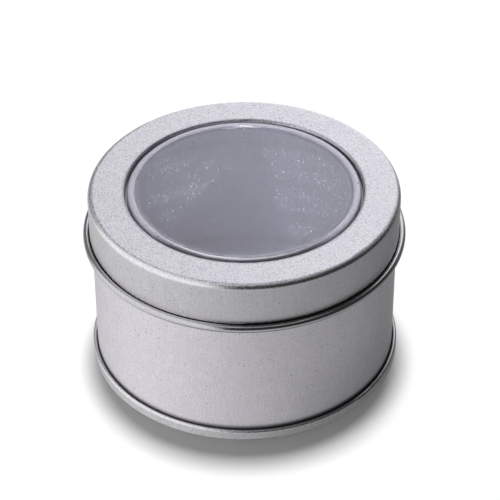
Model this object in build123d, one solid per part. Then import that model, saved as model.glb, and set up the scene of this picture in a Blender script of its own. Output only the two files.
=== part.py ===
from build123d import *

import os
from math import atan2, cos, degrees, radians, sin, sqrt

# A round tin for a candle, with a slip lid that has a clear window, as its separate pieces.
#
# The can is a three-piece can: a wall rolled from sheet and closed by a locked side seam, and a
# base end joined to it by a double seam with sealing compound in it. The lid is a pressed ring
# with a rolled edge, and a clear formed window is glued to its underside.
#
# Millimetres, +Z up. The origin is the centre of the ring that the tin stands on.

# Sheets
tin = 0.25  # tinplate of the wall, the base end and the lid
film = 0.40  # clear plastic of the window
glue = 0.10  # glue between the window and the lid

# The whole tin, closed
height = 45.0
overall_radius = 75.0 / 2  # over the lid's rolled edge

# Can
wall_radius = 71.0 / 2  # outside of the wall
rim_top = 44.72
rim_roll = 0.55  # the rim rolls inwards; middle line of the sheet
rim_turn = 285.0  # degrees of roll
seam_radius = 73.2 / 2  # outside of the double seam at the base
seam_height = 2.80
foot_bend = 0.40  # bends on each side of the flat that the tin stands on
chuck_gap = 0.05  # between the base end and the inside of the wall
wall_hook_bottom = 0.35  # lowest point of the wall, inside the double seam
wall_hook_tip = 2.25
base_hook_tip = 0.95
compound_width = 0.30  # sealing compound, on the tip of the wall's hook
compound_depth = 0.22

# Base end, inside the double seam
panel_height = 2.80  # underside of the middle of the base
panel_radius = 27.0  # the middle of the base ends here, at a step up
panel_step = 0.45
panel_slope = 35.0  # degrees
panel_bend = 0.80
chuck_bend = 0.60  # from the base's outer ring down into the seam

# Side seam, folded inwards: each end of the wall's sheet is hooked into the other
lock_facing = 22.0  # degrees from +X towards +Y
lock_bottom = 4.40
lock_top = 42.20
lock_gap = 0.04  # between its layers
lock_hook = 2.60  # length of each hook, round the wall
lock_fold_start = 0.85  # from the middle of the seam to where the outer end folds under itself
lock_dive = 70.0  # degrees that the inner end turns to pass below that fold
lock_dive_bend = 0.30

# Lid
lid_radius = 36.0  # outside of the skirt
lid_corner = 1.15  # edge of the top; middle line of the sheet
lid_roll_height = 33.55  # middle of the rolled edge
lid_roll_turn = 296.0  # degrees of roll, outwards
opening_radius = 27.4  # inside of the edge that is turned down round the opening
opening_bend = 0.35
opening_edge = 43.85  # lowest point of that edge

# Window
window_top = 44.92  # top of the raised rim round its panel
window_wall = 26.95  # outside of that rim
window_bend = 0.65
dish_radius = 24.45  # the panel is flat this far out, and then rises to the rim
dish_depth = 0.47
dish_slope = 25.0  # degrees
dish_bend = 1.20
trough_floor = 43.20  # the lid's turned edge stands in a trough round the rim
trough_wall = 28.45  # middle line of the trough's outer side
trough_bend = 0.30
flange_radius = 33.90
glue_inner = 29.60
glue_outer = 33.20

# Middle lines of the sheets, worked out from the sizes above
wall_middle = wall_radius - tin / 2
chuck_middle = wall_radius - tin - chuck_gap - tin / 2
seam_middle = seam_radius - tin / 2
hook_space = (seam_radius - wall_radius - 3 * tin) / 3  # beside each of the two hooks
base_hook_middle = wall_radius + hook_space + tin / 2
wall_hook_middle = base_hook_middle + tin + hook_space
lid_middle = lid_radius - tin / 2
lid_roll = (overall_radius - lid_radius) / 2
lid_underside = height - tin
lock_layer = tin + lock_gap


def direction(angle):
    """Unit vector at an angle in degrees from the first coordinate."""
    return Vector(cos(radians(angle)), sin(radians(angle)))


def bent_sheet(start, heading, steps, thickness):
    """Section of a bent sheet.

    The middle line begins at start and runs towards heading, in degrees. Each step is a straight
    length, or a bend as (radius of the middle line, degrees), positive to the left.
    """
    middle = Vector(*start)
    edges = [edge_across(middle, heading, thickness)]
    for step in steps:
        if isinstance(step, tuple):
            radius, turn = step
            side = 1 if turn > 0 else -1
            centre = middle + direction(heading + 90 * side) * radius
            for reach in (radius - thickness / 2, radius + thickness / 2):
                ends = [
                    centre + direction(heading - 90 * side + turn * share) * reach
                    for share in (0, 0.5, 1)
                ]
                edges.append(Edge.make_three_point_arc(*ends))
            heading += turn
            middle = centre + direction(heading - 90 * side) * radius
        else:
            after = middle + direction(heading) * step
            for side in (-1, 1):
                beside = direction(heading + 90 * side) * (thickness / 2)
                edges.append(Edge.make_line(middle + beside, after + beside))
            middle = after
    edges.append(edge_across(middle, heading, thickness))
    return Face(Wire(edges))


def edge_across(middle, heading, thickness):
    """The cut edge of a sheet, as a line square to its heading."""
    beside = direction(heading + 90) * (thickness / 2)
    return Edge.make_line(middle - beside, middle + beside)


def rise(depth, radius, slope):
    """Steps that lift a level sheet by depth: a bend up, a straight slope and a bend back."""
    sloped = (depth - 2 * radius * (1 - cos(radians(slope)))) / sin(radians(slope))
    return [(radius, slope), sloped, (radius, -slope)]


def width_of(steps):
    """How far the steps of rise() reach, level."""
    (radius, slope), sloped, _ = steps
    return 2 * radius * sin(radians(slope)) + sloped * cos(radians(slope))


def turned(section):
    """The solid that a section of (radius, height) makes when turned round the tin's axis."""
    return revolve(Plane.XZ * section, Axis.Z, 360)


def make_wall():
    """The can's wall: hook in the double seam, locked side seam and rolled rim."""
    hook_bend = (wall_hook_middle - wall_middle) / 2
    hook_centre = wall_hook_bottom + tin / 2 + hook_bend
    foot = bent_sheet(
        (wall_hook_middle, wall_hook_tip),
        -90,
        [wall_hook_tip - hook_centre, (hook_bend, -180), lock_bottom - hook_centre],
        tin,
    )
    roll_centre = rim_top - tin / 2 - rim_roll
    rim = bent_sheet(
        (wall_middle, lock_top), 90, [roll_centre - lock_top, (rim_roll, rim_turn)], tin
    )
    side = extrude(
        Pos(0, 0, lock_bottom) * make_lock_section(), lock_top - lock_bottom, dir=(0, 0, 1)
    )
    return Rot(0, 0, lock_facing - 90) * (turned(foot) + side + turned(rim))


def make_lock_section():
    """The wall in plan: nearly a full circle, with its two ends hooked together at the top.

    The outer end folds under itself at the seam's fold line. The inner end dives from the circle
    to pass below that fold, and then folds back to lie between the outer end's two layers.
    """
    between, inner, innermost = [wall_middle - lock_layer * layer for layer in (1, 2, 3)]
    hook = degrees(lock_hook / wall_middle)
    fold_line = 90 - degrees(lock_fold_start / wall_middle)
    # The dive goes round the fold, runs straight, and bends to meet the wall's circle.
    round_fold = 2 * lock_layer
    outwards = Vector(cos(radians(lock_dive)), sin(radians(lock_dive)))
    beside = Vector(outwards.Y, -outwards.X)
    bend_centre = Vector(0, between) + beside * (round_fold + lock_dive_bend)
    along = bend_centre.dot(outwards)
    reach = wall_middle - lock_dive_bend
    dive = sqrt(along**2 + reach**2 - bend_centre.dot(bend_centre)) - along
    bend_centre += outwards * dive
    past_fold = degrees(atan2(bend_centre.X, bend_centre.Y))
    return bent_sheet(
        direction(fold_line) * between,
        fold_line + 90,
        [
            (between, hook),
            (lock_layer, 180),
            (innermost, -hook),
            (round_fold, lock_dive),
            dive,
            (lock_dive_bend, -lock_dive - past_fold),
            (wall_middle, past_fold - 360),
            (lock_layer, -180),
            (inner, hook),
        ],
        tin,
    )


def make_base_end():
    """The base: stepped panel, wall down into the double seam, foot, outside and hook."""
    step = rise(panel_step, panel_bend, panel_slope)
    panel_middle = panel_height + tin / 2
    chuck_top = panel_middle + panel_step - chuck_bend
    foot_centre = tin / 2 + foot_bend
    curl = (seam_middle - base_hook_middle) / 2
    curl_centre = seam_height - tin / 2 - curl
    return turned(
        bent_sheet(
            (0, panel_middle),
            0,
            [
                panel_radius,
                *step,
                chuck_middle - chuck_bend - panel_radius - width_of(step),
                (chuck_bend, -90),
                chuck_top - foot_centre,
                (foot_bend, 90),
                seam_middle - chuck_middle - 2 * foot_bend,
                (foot_bend, 90),
                curl_centre - foot_centre,
                (curl, 180),
                curl_centre - base_hook_tip,
            ],
            tin,
        )
    )


def make_seam_compound():
    """The ring of sealing compound between the tip of the wall's hook and the base's curl."""
    return turned(
        bent_sheet(
            (wall_hook_middle, wall_hook_tip), 90, [compound_depth], compound_width
        )
    )


def make_lid_ring():
    """The lid: edge turned down round the opening, flat top, skirt and rolled edge."""
    top_middle = height - tin / 2
    opening_middle = opening_radius + tin / 2
    return turned(
        bent_sheet(
            (opening_middle, opening_edge),
            90,
            [
                top_middle - opening_bend - opening_edge,
                (opening_bend, -90),
                lid_middle - lid_corner - opening_middle - opening_bend,
                (lid_corner, -90),
                top_middle - lid_corner - lid_roll_height,
                (lid_roll, lid_roll_turn),
            ],
            tin,
        )
    )


def make_window():
    """The window: panel, rim, trough for the lid's turned edge, and flange under the lid."""
    dish = rise(dish_depth, dish_bend, dish_slope)
    rim_middle = window_top - film / 2
    wall = window_wall - film / 2
    trough = trough_floor - film / 2
    flange = lid_underside - glue - film / 2
    return turned(
        bent_sheet(
            (0, rim_middle - dish_depth),
            0,
            [
                dish_radius,
                *dish,
                wall - window_bend - dish_radius - width_of(dish),
                (window_bend, -90),
                rim_middle - window_bend - trough - trough_bend,
                (trough_bend, 90),
                trough_wall - wall - 2 * trough_bend,
                (trough_bend, 90),
                flange - trough - 2 * trough_bend,
                (trough_bend, -90),
                flange_radius - trough_wall - trough_bend,
            ],
            film,
        )
    )


def make_window_glue():
    """The ring of glue between the window's flange and the underside of the lid."""
    return turned(
        bent_sheet(
            (glue_inner, lid_underside - glue / 2), 0, [glue_outer - glue_inner], glue
        )
    )


pieces = {
    "body_wall": make_wall,
    "base_end": make_base_end,
    "seam_compound": make_seam_compound,
    "lid_ring": make_lid_ring,
    "window": make_window,
    "window_glue": make_window_glue,
}

os.makedirs("parts", exist_ok=True)
for name, make in pieces.items():
    export_step(make(), f"parts/{name}.step")
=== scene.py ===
import math

import bpy
from mathutils import Matrix, Vector


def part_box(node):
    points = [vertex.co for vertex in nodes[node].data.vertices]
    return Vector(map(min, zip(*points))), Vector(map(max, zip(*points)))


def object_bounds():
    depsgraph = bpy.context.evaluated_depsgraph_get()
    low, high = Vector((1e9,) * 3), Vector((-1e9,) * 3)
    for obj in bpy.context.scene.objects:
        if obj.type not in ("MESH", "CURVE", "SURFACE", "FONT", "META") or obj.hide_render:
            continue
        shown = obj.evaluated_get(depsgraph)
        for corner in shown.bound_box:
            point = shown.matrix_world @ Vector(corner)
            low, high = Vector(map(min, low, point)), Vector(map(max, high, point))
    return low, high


# A candle tin with a slip lid and a clear window, in the photograph's view. Every piece is the
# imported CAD's own mesh. This script adds the materials, the camera, the floor and the light.
#
# Metres, +Z up. The tin stands on z = 0 round the Z axis, and the photograph looks towards +Y.

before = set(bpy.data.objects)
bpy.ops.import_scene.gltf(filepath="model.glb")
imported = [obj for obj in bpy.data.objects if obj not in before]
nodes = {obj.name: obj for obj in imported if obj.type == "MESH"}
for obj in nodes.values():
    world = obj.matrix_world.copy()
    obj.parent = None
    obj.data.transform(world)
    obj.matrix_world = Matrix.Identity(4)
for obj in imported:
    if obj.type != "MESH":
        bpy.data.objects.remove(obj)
cad_low, cad_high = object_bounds()

height = cad_high.z - cad_low.z
lid_low, lid_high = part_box("lid_ring")

# Sizes that the CAD's boxes don't give
wall_radius = 0.0355  # outside of the wall
seam_height = 0.0028  # of the double seam at the base
opening_radius = 0.0274  # of the lid's opening

# Camera, fitted to the outlines in the photograph
camera_elevation = math.radians(38.09)
camera_distance = 0.4793
camera_lens = 146.9  # mm
camera_sensor = 36  # mm
camera_nearest = 0.01
camera_roll = math.radians(-0.18)
aim = Vector((0.0013, 0, 0.596 * height))

# Floor
floor_half = 3.0
floor_grey = (0.93, 0.93, 0.93)

# The room that the reflections show: a brightness for each direction, whose x is to the right,
# y away from the camera and z up
ground_level = 0.80
ground_to_right = -0.44  # change per unit of x
ground_to_back = -0.26  # change per unit of y, behind the tin
ground_corner = -0.095  # at the back right
ground_edge = 0.16  # in a strip furthest back, on the right
behind_level = 1.47
left_level = 1.30
above_level = 0.85
above_near_level = 0.05  # above and in front of the tin
sky_level = 0.05  # the rest of the room above the horizon
dimmest_level = 0.04

# Frosted tinplate, with its texture scales in cells per metre
sand_scale = 3300.0
patch_scale = 260.0
streak_scale = 3600.0
streak_squash = 0.10  # a streak's width over its height
speck_scale = 1050.0
streak_tone = 0.22
patch_tone = 0.10
speck_tone = -0.45
grain_on_bends = 0.75  # strength of the sand away from the flat top
tin_rough = 0.42
tin_relief = 0.00005  # metres
lid_top_colour = (0.80, 0.783, 0.86)
lid_side_colour = (0.80, 0.785, 0.815)
wall_colour = (0.80, 0.78, 0.832)
base_colour = (0.80, 0.785, 0.805)
# Bright flecks on the inside of the wall, painted glints of its grain
inside_fleck_scale = 1500.0

# Where the tinplate's finish and its painted shade change. Each pair is the two ends of a smooth
# change, or the two sides of a band that has its own blur.
lid_top_start = (lid_high.z - 0.0005, lid_high.z - 0.0001)  # height
skirt_ends = (lid_low.z + 0.0022, lid_high.z - 0.0010)  # height
skirt_blur = 0.0004
bead_top = (lid_low.z + 0.0019, lid_low.z + 0.0024)  # height
# These six set where painted shade darkens the lid: under the rolled edge, in the groove above it,
# and on the edge turned down round the opening, less on the far side
bead_underside = (lid_low.z + 0.0002, lid_low.z + 0.0007)  # height
groove_top = (lid_low.z + 0.0014, lid_low.z + 0.0028)  # height
turned_edge_top = (lid_high.z - 0.0011, lid_high.z - 0.0004)  # height
turned_edge_side = (opening_radius + 0.0002, opening_radius + 0.0010)  # radius
turned_edge_end = (opening_radius + 0.0016, opening_radius + 0.0021)  # radius
turned_edge_back = (0.0120, 0.0255)  # y
wall_inside = (wall_radius - 0.0002, wall_radius - 0.0001)  # radius
# Painted shade on the wall where it meets the seam
wall_crevice = (seam_height - 0.0001, seam_height + 0.0014)  # height
# A rub line and painted shade just under the lid's edge
rubbed_and_shaded_ends = (lid_low.z - 0.0004, lid_low.z + 0.0010)  # height
rubbed_and_shaded_blur = 0.0005
# Painted shade low on the +X side of the wall
wall_right = (0.004, 0.026)  # x
wall_low = (0.003, 0.025)  # height
seam_outside = (wall_radius - 0.0001, wall_radius + 0.0002)  # radius
# Painted shade on the seam
seam_top = (seam_height - 0.0008, seam_height - 0.0002)  # height
seam_right = (-0.018, 0.026)  # x

# Window
panel_colour = (0.83, 0.835, 0.99)
rim_colour = (0.86, 0.85, 0.95)
# The dust flecks' colour; the flecks are also painted glints
dust_and_glint_colour = (0.95, 0.95, 1.0)
# Dark dots, and the painted shade of the trough and of the rim's front
dot_and_shade_colour = (0.10, 0.10, 0.11)
dust_and_glint_scale = 1500.0
fleck_scale = 2700.0
dot_scale = 420.0
drift_patch_scale = 220.0
wear_scale = 90.0
ripple_scale = 120.0
ripple = 0.0002  # metres
# The two drifts of dust flecks, which are also painted glints
left_drift_slant = 0.56  # the left drift lies where x < slant * y + edge
left_drift_edge = -0.0068
right_drift_slant = -0.19  # the right drift lies where x > slant * y + edge
right_drift_edge = 0.0048
drift_blur = 0.0035
left_drift_back = (0.0100, 0.0160)  # y
right_drift_back = (0.0140, 0.0220)  # y

# Where the window's finish, its painted shade and its painted highlight change, in pairs as above
dust_and_glint_end = (0.0215, 0.0248)  # radius
# The slope and the rim get more haze: a painted highlight
slope_band = (0.0242, 0.0251)  # radius
slope_blur = 0.0005
panel_end = (0.0246, 0.0254)  # radius
rim_band = (0.0252, 0.0268)  # radius
rim_blur = 0.0003
wear_and_shade_start = (0.0258, 0.0264)  # radius
# Painted shade in the trough round the rim
trough_start = (0.0266, 0.0268)  # radius
trough_top = (height - 0.0014, height - 0.0008)  # height
# Where the rim's painted highlight fades out in front
rim_highlight_front = (-0.0240, -0.0120)  # y
# Where painted shade darkens the rim and all outside it, in front
front_shade_ends = (-0.0240, -0.0160)  # y

# Glue and sealing compound
glue_colours = ((0.86, 0.86, 0.84), (0.94, 0.94, 0.93))
glue_scale = 240.0
glue_relief = 0.0001
bubble_scale = 900.0
compound_colours = ((0.42, 0.40, 0.36), (0.60, 0.58, 0.53))
compound_scale = 1400.0
compound_relief = 0.00005

scene = bpy.context.scene
collection = scene.collection


def look_at(obj, place, target, roll=0.0):
    turn = (target - place).to_track_quat("-Z", "Y")
    obj.matrix_world = (
        Matrix.Translation(place) @ turn.to_matrix().to_4x4() @ Matrix.Rotation(roll, 4, "Z")
    )


def make_camera():
    data = bpy.data.cameras.new("camera")
    data.lens = camera_lens
    data.sensor_width = camera_sensor
    data.clip_start = camera_nearest
    camera = bpy.data.objects.new("camera", data)
    collection.objects.link(camera)
    back = Vector((0, -math.cos(camera_elevation), math.sin(camera_elevation)))
    look_at(camera, aim + back * camera_distance, aim, camera_roll)
    scene.camera = camera


class Nodes:
    """A node tree with short calls: each value is a number, a tuple or another node's output."""

    def __init__(self, tree):
        self.tree = tree
        tree.nodes.clear()

    def add(self, kind, **settings):
        node = self.tree.nodes.new(kind)
        for key, value in settings.items():
            setattr(node, key, value)
        return node

    def put(self, socket, value):
        if isinstance(value, bpy.types.NodeSocket):
            self.tree.links.new(value, socket)
        elif isinstance(value, tuple) and socket.type == "RGBA":
            socket.default_value = (*value, 1)
        else:
            socket.default_value = value

    def math(self, operation, *values, clamp=False):
        node = self.add("ShaderNodeMath", operation=operation, use_clamp=clamp)
        for socket, value in zip(node.inputs, values):
            self.put(socket, value)
        return node.outputs[0]

    def product(self, first, *others):
        for other in others:
            first = self.math("MULTIPLY", first, other)
        return first

    def largest(self, first, *others):
        for other in others:
            first = self.math("MAXIMUM", first, other)
        return first

    def plus(self, start, value, factor=1.0, clamp=False):
        """start + value * factor"""
        return self.math("MULTIPLY_ADD", value, factor, start, clamp=clamp)

    def ramp(self, value, low, high, at_low=0.0, at_high=1.0):
        """A smooth step from at_low, where value is low or less, to at_high."""
        node = self.add("ShaderNodeMapRange", clamp=True, interpolation_type="SMOOTHSTEP")
        self.put(node.inputs["Value"], value)
        self.put(node.inputs["From Min"], low)
        self.put(node.inputs["From Max"], high)
        self.put(node.inputs["To Min"], at_low)
        self.put(node.inputs["To Max"], at_high)
        return node.outputs["Result"]

    def zone(self, value, low, high, edge):
        """1 between low and high, with soft edges, and 0 outside them."""
        rise = self.ramp(value, low - edge, low + edge)
        fall = self.ramp(value, high - edge, high + edge, 1.0, 0.0)
        return self.product(rise, fall)

    def mix(self, factor, first, second, blend="MIX"):
        node = self.add("ShaderNodeMix", data_type="RGBA", blend_type=blend)
        first_colour, second_colour = [s for s in node.inputs if s.type == "RGBA"]
        self.put(node.inputs["Factor"], factor)
        self.put(first_colour, first)
        self.put(second_colour, second)
        return next(s for s in node.outputs if s.type == "RGBA")

    def noise(self, vector, scale, detail, roughness=0.5):
        node = self.add("ShaderNodeTexNoise")
        self.put(node.inputs["Vector"], vector)
        self.put(node.inputs["Scale"], scale)
        self.put(node.inputs["Detail"], detail)
        self.put(node.inputs["Roughness"], roughness)
        return node.outputs["Fac"]

    def cells(self, vector, scale, dimensions="3D"):
        """The distance from the middle of the nearest cell, and that cell's random number."""
        node = self.add("ShaderNodeTexVoronoi", voronoi_dimensions=dimensions)
        self.put(node.inputs["Vector"], vector)
        self.put(node.inputs["Scale"], scale)
        return node.outputs["Distance"], self.xyz(node.outputs["Color"])[0]

    def scaled(self, vector, scale):
        node = self.add("ShaderNodeMapping")
        self.put(node.inputs["Vector"], vector)
        node.inputs["Scale"].default_value = scale
        return node.outputs["Vector"]

    def bump(self, heights, strength, distance):
        node = self.add("ShaderNodeBump")
        self.put(node.inputs["Height"], heights)
        self.put(node.inputs["Strength"], strength)
        self.put(node.inputs["Distance"], distance)
        return node.outputs["Normal"]

    def xyz(self, vector):
        node = self.add("ShaderNodeSeparateXYZ")
        self.put(node.inputs[0], vector)
        return node.outputs["X"], node.outputs["Y"], node.outputs["Z"]

    def place(self):
        return self.add("ShaderNodeTexCoord").outputs["Object"]

    def from_axis(self, x, y):
        return self.math("SQRT", self.math("ADD", self.product(x, x), self.product(y, y)))

    def grey(self, tone):
        node = self.add("ShaderNodeCombineColor")
        for socket in node.inputs[:3]:
            self.put(socket, tone)
        return node.outputs[0]

    def principled(self, **values):
        shader = self.add("ShaderNodeBsdfPrincipled")
        for name, value in values.items():
            self.put(shader.inputs[name.replace("_", " ")], value)
        out = self.add("ShaderNodeOutputMaterial")
        self.tree.links.new(shader.outputs[0], out.inputs["Surface"])


def new_material(name):
    material = bpy.data.materials.new(name)
    material.use_nodes = True
    return material, Nodes(material.node_tree)


def make_floor():
    """A matt floor that the metal doesn't reflect, because the room's own ground stands for it."""
    mesh = bpy.data.meshes.new("floor")
    corners = [(-1, -1), (1, -1), (1, 1), (-1, 1)]
    mesh.from_pydata([(x * floor_half, y * floor_half, 0) for x, y in corners], [], [(0, 1, 2, 3)])
    floor = bpy.data.objects.new("floor", mesh)
    collection.objects.link(floor)
    material, n = new_material("floor")
    n.principled(Base_Color=floor_grey, Roughness=0.9, Specular_IOR_Level=0.1)
    mesh.materials.append(material)
    floor.visible_glossy = False


def ground_light(n, x, y, z):
    """Below the horizon: lighter on the left, darker towards the back and straight down."""
    corner = n.product(n.ramp(x, 0.15, 0.50), n.ramp(y, -0.45, 0.55))
    edge = n.product(n.ramp(x, 0.0, 0.20), n.ramp(y, 0.64, 0.77))
    straight_down = n.ramp(z, -0.97, -0.72, 0.45, 1.0)
    level = n.plus(ground_level, x, ground_to_right)
    level = n.plus(level, n.largest(y, 0.0), ground_to_back)
    level = n.plus(level, corner, ground_corner)
    level = n.plus(level, edge, ground_edge)
    return n.product(level, straight_down)


def sky_light(n, x, y, z):
    """Above the horizon: bright behind the tin, on its left and overhead, and dark in front."""
    behind = n.product(
        n.ramp(y, 0.25, 0.60, 0.0, behind_level),
        n.ramp(z, 0.72, 0.88, 1.0, 0.20),  # dimmer high up
        n.ramp(x, -0.26, -0.06, 0.18, 1.0),  # dimmer on the left
        n.ramp(x, 0.30, 0.65, 1.0, 0.12),  # dimmer on the right
    )
    left = n.product(
        n.ramp(x, -0.36, -0.16, left_level, 0.0),
        n.ramp(y, 0.34, 0.62, 1.0, 0.0),  # none behind
    )
    above = n.product(
        n.ramp(z, 0.86, 0.95),
        n.ramp(y, -0.45, -0.25, above_near_level, above_level),
        n.ramp(x, -0.20, 0.05, 1.0, 0.6),  # dimmer on the right
    )
    return n.largest(behind, left, above, sky_level)


def make_room():
    """The room that reflections and the window show. It doesn't light what is matt."""
    world = bpy.data.worlds.new("studio")
    scene.world = world
    world.use_nodes = True
    n = Nodes(world.node_tree)
    x, y, z = n.xyz(n.add("ShaderNodeTexCoord").outputs["Generated"])
    ground = ground_light(n, x, y, z)
    sky = sky_light(n, x, y, z)
    above_horizon = n.ramp(z, -0.25, 0.0)
    level = n.plus(ground, above_horizon, n.math("SUBTRACT", sky, ground))
    back = n.add("ShaderNodeBackground")
    n.put(back.inputs["Strength"], n.largest(level, dimmest_level))
    out = n.add("ShaderNodeOutputWorld")
    n.tree.links.new(back.outputs[0], out.inputs["Surface"])
    world.cycles_visibility.diffuse = False


def make_sun(name, direction, angle, strength):
    """A light from a direction, as wide as an angle in degrees, that reflections don't show."""
    data = bpy.data.lights.new(name, "SUN")
    data.angle = math.radians(angle)
    data.energy = strength
    light = bpy.data.objects.new(name, data)
    collection.objects.link(light)
    look_at(light, Vector(direction), Vector((0, 0, 0)))
    light.visible_glossy = False


def frosted_tin(name, finish):
    """Bright tinplate with a frosted grain: fine sand, faint upright streaks, sparse dark specks.

    finish gives, from the place, the radius and the height, the grain's strength, the shade
    painted into the colour, the roughness and the colour there.
    """
    material, n = new_material(name)
    place = n.place()
    x, y, z = n.xyz(place)
    grain, shade, rough, colour = finish(n, place, n.from_axis(x, y), z)
    sand = n.noise(place, sand_scale, 1.5, 0.6)
    patch = n.noise(place, patch_scale, 3.0, 0.55)
    streak = n.noise(n.scaled(place, (1.0, 1.0, streak_squash)), streak_scale, 2.0)
    distance, random = n.cells(place, speck_scale)
    speck = n.product(n.ramp(distance, 0.10, 0.26, 1.0, 0.0), n.ramp(random, 0.86, 0.90))
    fine = n.product(n.math("SUBTRACT", sand, 0.5), grain)
    tone = n.math("ADD", fine, 1.0)
    tone = n.plus(tone, n.math("SUBTRACT", streak, 0.5), streak_tone)
    tone = n.plus(tone, n.math("SUBTRACT", patch, 0.5), patch_tone)
    tone = n.product(tone, n.plus(1.0, speck, speck_tone), shade)
    relief = n.plus(n.plus(sand, streak, 0.3), speck, -0.6)
    n.principled(
        Base_Color=n.mix(1.0, colour, n.grey(tone), "MULTIPLY"),
        Metallic=1.0,
        Roughness=n.plus(rough, fine, 0.3, clamp=True),
        Normal=n.bump(relief, 0.30, tin_relief),
    )
    return material


def lid_finish(n, place, radius, z):
    """The lid: a grained flat top, a darker skirt, and a smoother corner and rolled edge.

    Painted shade darkens the rolled edge and the groove above it, and most of all underneath it.
    It also darkens the edge turned down round the opening, though hardly on the far side.
    """
    flat = n.ramp(z, *lid_top_start)
    skirt = n.zone(z, *skirt_ends, skirt_blur)
    bead = n.ramp(z, *bead_top, 1.0, 0.0)
    smooth = n.math("SUBTRACT", 1.0, n.largest(flat, skirt))

    # Painted shade: on the rolled edge and in the groove above it, darkest under it, and on the
    # edge turned down round the opening, hardly on the far side
    groove = n.ramp(z, *groove_top, 0.72, 1.0)
    under_bead = n.ramp(z, *bead_underside, 0.30, 1.0)
    turned_edge = n.product(
        n.ramp(radius, *turned_edge_side, 0.55, 1.0), n.ramp(z, *turned_edge_top, 0.4, 1.0)
    )
    far_side = n.ramp(n.xyz(place)[1], *turned_edge_back, 0.0, 0.80)
    past_opening = n.ramp(radius, *turned_edge_end)
    opening = n.largest(turned_edge, past_opening, far_side)
    shade = n.product(n.plus(1.0, skirt, -0.17), groove, under_bead, opening)

    grain = n.plus(grain_on_bends, flat, 1.2)
    rough = n.plus(n.plus(tin_rough, smooth, -0.17), bead, -0.12)
    colour = n.mix(flat, lid_side_colour, lid_top_colour)
    return grain, shade, rough, colour


def wall_finish(n, place, radius, z):
    """The wall: painted shade where it meets the seam, a faint rub line and painted shade at the
    lid's edge, and painted shade low on the +X side. Its inside is darker too, and has bright
    flecks, which are painted glints.
    """
    inside = n.ramp(radius, *wall_inside, 1.0, 0.0)
    # Painted shade where the wall meets the seam
    crevice = n.ramp(z, *wall_crevice, 0.40, 1.0)
    # Partly a rub line, partly painted shade just under the lid's edge
    rubbed_and_shaded = n.zone(z, *rubbed_and_shaded_ends, rubbed_and_shaded_blur)
    # Painted shade: the tin's shadow on the floor, as it would be reflected low on the +X side
    shaded_low_right = n.product(n.ramp(n.xyz(place)[0], *wall_right), n.ramp(z, *wall_low, 1.0, 0.0))
    shade = n.product(
        crevice,
        n.plus(1.0, rubbed_and_shaded, -0.12),
        n.plus(1.0, shaded_low_right, -0.24),
        n.plus(1.0, inside, -0.3),
    )
    # Painted glints: bright flecks in the colour of the wall's inside
    distance, random = n.cells(place, inside_fleck_scale)
    fleck = n.product(n.ramp(distance, 0.12, 0.3, 1.0, 0.0), n.ramp(random, 0.72, 0.8), inside)
    return grain_on_bends, n.plus(shade, fleck, 1.2), tin_rough, wall_colour


def base_finish(n, place, radius, z):
    """The base's panel, and the outside of the double seam. The seam is glossier and grainier,
    and painted shade darkens it below its top and towards +X.
    """
    seam = n.ramp(radius, *seam_outside)
    # Painted shade: the tin's shadow on the floor, as the seam would reflect it below its top and
    # towards +X
    seam_shade = n.product(
        n.ramp(z, *seam_top, 0.78, 1.0), n.ramp(n.xyz(place)[0], *seam_right, 1.0, 0.72)
    )
    shade = n.plus(1.0, seam, n.math("SUBTRACT", seam_shade, 1.0))
    return n.plus(0.9, seam, 0.3), shade, n.plus(tin_rough, seam, -0.08), base_colour


def dust_and_glint_drift(n, place, x, y, radius):
    """How thick the dust lies, with painted glints of the tin's grained inside: a patchy drift on
    each side of the window, clear of its rim.
    """
    past_left = n.math("SUBTRACT", n.plus(left_drift_edge, y, left_drift_slant), x)
    past_right = n.math("SUBTRACT", x, n.plus(right_drift_edge, y, right_drift_slant))
    left = n.product(n.ramp(past_left, 0.0, drift_blur), n.ramp(y, *left_drift_back, 1.0, 0.0))
    right = n.product(n.ramp(past_right, 0.0, drift_blur), n.ramp(y, *right_drift_back, 1.0, 0.2))
    return n.product(
        n.largest(left, right),
        n.ramp(radius, *dust_and_glint_end, 1.0, 0.0),
        n.ramp(n.noise(place, drift_patch_scale, 2.0), 0.36, 0.60, 0.35, 1.0),
    )


def window_haze(n, drift, x, y, radius):
    """Haze: more towards +X, less in front, and most where the sheet is bent up to its rim, as a
    painted highlight that leaves out the rim's front.
    """
    haze = n.plus(0.066, x, 1.4)
    haze = n.plus(haze, n.math("MINIMUM", y, 0.0), 1.4)
    haze = n.plus(haze, drift, 0.030)
    # Painted highlight: more haze on the slope up to the rim, and on the rim except in front
    haze = n.plus(haze, n.zone(radius, *slope_band, slope_blur), 0.055)
    rim = n.product(n.zone(radius, *rim_band, rim_blur), n.ramp(y, *rim_highlight_front))
    return n.plus(n.largest(haze, 0.02), rim, 0.27)


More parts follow.
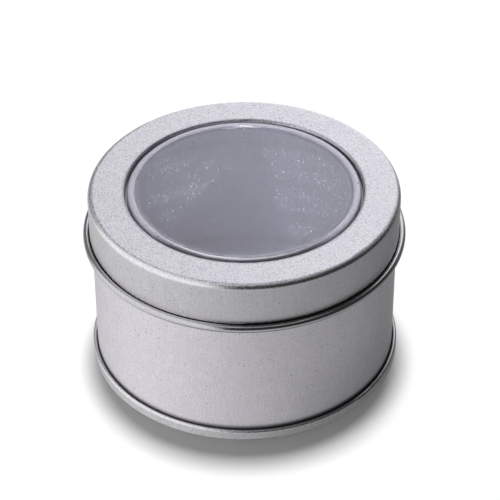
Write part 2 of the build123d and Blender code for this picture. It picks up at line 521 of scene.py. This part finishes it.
def clear_plastic(name):
    """Clear formed sheet with haze, dust flecks in two drifts that are also painted glints, and a
    few dark dots.

    The rim and all outside it are worn rougher and darkened in front by painted shade, and painted
    shade darkens the trough all round.
    """
    material, n = new_material(name)
    place = n.place()
    x, y, z = n.xyz(place)
    radius = n.from_axis(x, y)
    drift = dust_and_glint_drift(n, place, x, y, radius)
    haze = window_haze(n, drift, x, y, radius)

    flat_place = n.scaled(place, (1.0, 1.0, 0.0))
    # Dust flecks, which also paint the glints of the tin's grained inside seen through the window
    dust_and_glints = n.ramp(n.noise(flat_place, dust_and_glint_scale, 1.0), 0.52, 0.74, 0.0, 0.22)
    sparse = n.ramp(n.noise(flat_place, fleck_scale, 0.0), 0.70, 0.86, 0.0, 0.72)
    fleck = n.product(n.largest(dust_and_glints, sparse), drift)
    distance, random = n.cells(place, dot_scale, "2D")
    dot = n.product(n.ramp(distance, 0.05, 0.12, 1.0, 0.0), n.math("GREATER_THAN", random, 0.95))
    # Painted shade: the trough made cloudy and dark
    trough = n.product(n.ramp(z, *trough_top, 0.75, 0.0), n.ramp(radius, *trough_start))
    cloud = n.largest(fleck, dot, haze, trough)

    worn_and_shaded = n.ramp(radius, *wear_and_shade_start)
    # Painted shade: the rim and all outside it darker in front
    front_shade = n.ramp(n.product(worn_and_shaded, n.ramp(y, *front_shade_ends, 1.0, 0.0)), 0.0, 1.0, 0.0, 0.6)
    colour = n.mix(n.ramp(radius, *panel_end), panel_colour, rim_colour)
    colour = n.mix(fleck, colour, dust_and_glint_colour)
    colour = n.mix(n.largest(dot, trough, front_shade), colour, dot_and_shade_colour)
    uneven = n.ramp(n.noise(place, wear_scale, 3.0, 0.6), 0.3, 0.7, 0.06, 0.12)
    n.principled(
        Base_Color=colour,
        Roughness=n.plus(uneven, worn_and_shaded, 0.30),
        Transmission_Weight=n.math("SUBTRACT", 1.0, cloud, clamp=True),
        IOR=1.5,
        Normal=n.bump(n.noise(place, ripple_scale, 1.0), 0.10, ripple),
    )
    return material


def clear_glue(name):
    """Clear adhesive, slightly milky and uneven, with small bubbles."""
    material, n = new_material(name)
    place = n.place()
    uneven = n.noise(place, glue_scale, 3.0)
    milky = n.ramp(uneven, 0.3, 0.7, 0.15, 0.35)
    distance, random = n.cells(place, bubble_scale)
    bubble = n.product(n.ramp(distance, 0.10, 0.22, 1.0, 0.0), n.math("GREATER_THAN", random, 0.7))
    cloud = n.plus(milky, bubble, 0.3, clamp=True)
    n.principled(
        Base_Color=n.mix(uneven, *glue_colours),
        Roughness=milky,
        Transmission_Weight=n.math("SUBTRACT", 1.0, cloud),
        IOR=1.45,
        Normal=n.bump(uneven, 0.2, glue_relief),
    )
    return material


def sealing_compound(name):
    """Rubbery sealing compound: a matt tan-grey with a fine mottle."""
    material, n = new_material(name)
    mottle = n.noise(n.place(), compound_scale, 3.0)
    n.principled(
        Base_Color=n.mix(n.ramp(mottle, 0.3, 0.7), *compound_colours),
        Roughness=n.ramp(mottle, 0.3, 0.7, 0.62, 0.78),
        Normal=n.bump(mottle, 0.3, compound_relief),
    )
    return material


def paint(node, material):
    for slot in nodes[node].material_slots:
        slot.material = material


make_camera()
make_floor()
make_room()
make_sun("key", direction=(0, 0.203, 0.979), angle=12.0, strength=2.85)
make_sun("fill", direction=(0, 0, 1), angle=170.0, strength=0.76)

paint("body_wall", frosted_tin("tinplate", wall_finish))
paint("base_end", frosted_tin("tinplate_base", base_finish))
paint("lid_ring", frosted_tin("tinplate_lid", lid_finish))
paint("window", clear_plastic("clear_plastic"))
paint("window_glue", clear_glue("clear_glue"))
paint("seam_compound", sealing_compound("sealing_compound"))

scene.view_settings.view_transform = "Standard"
scene.view_settings.look = "None"
